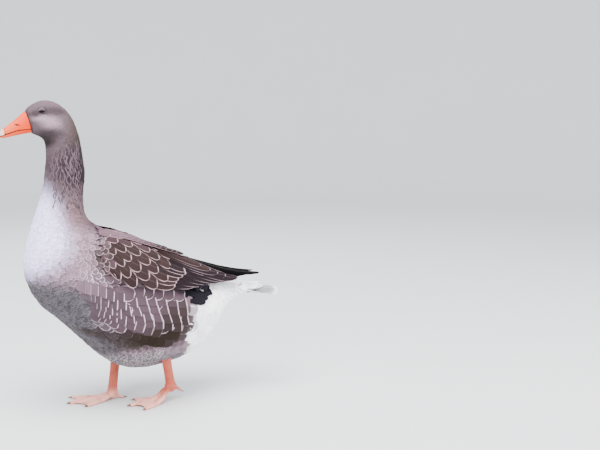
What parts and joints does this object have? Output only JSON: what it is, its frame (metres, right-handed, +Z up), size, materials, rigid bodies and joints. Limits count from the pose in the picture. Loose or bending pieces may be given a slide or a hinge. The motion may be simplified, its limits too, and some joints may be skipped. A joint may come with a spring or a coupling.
{
  "type": "danish landrace goose",
  "caption": "Still life-size grey and white farmyard goose in mid-step, head up, facing -X, with folded wings, fanned tail, webbed feet and orange bill.",
  "frame": {"origin": "on the floor under the middle of the bounding box", "axes": "-X towards the bill, +X towards the tail, -Y the bird's left side, +Z up"},
  "size_m": [0.66, 0.284, 0.6905],
  "materials": {
    "plumage": "brown-grey feathers",
    "breast": "pale grey feathers",
    "wing": "dark grey-brown feathers with pale edges",
    "white": "white feathers",
    "bill": "satin orange horn",
    "nail": "pale horn",
    "eye": "wet gloss",
    "skin": "scaly bare skin",
    "claw": "horn"
  },
  "bodies": {
    "root": {"bill_lower": "bill", "bill_nail": "nail", "bill_upper": "bill", "claw_hind_left": "claw", "claw_hind_right": "claw", "claw_inner_left": "claw", "claw_inner_right": "claw", "claw_middle_left": "claw", "claw_middle_right": "claw", "claw_outer_left": "claw", "claw_outer_right": "claw", "eye_left": "eye", "eye_right": "eye", "foot_left": "skin", "foot_right": "skin", "head": "plumage", "neck": "plumage", "shank_left": "skin", "shank_right": "skin", "tail": "white", "thigh_left": "plumage", "thigh_right": "plumage", "torso": "breast", "wing_left": "wing", "wing_right": "wing"}
  },
  "joints": []
}
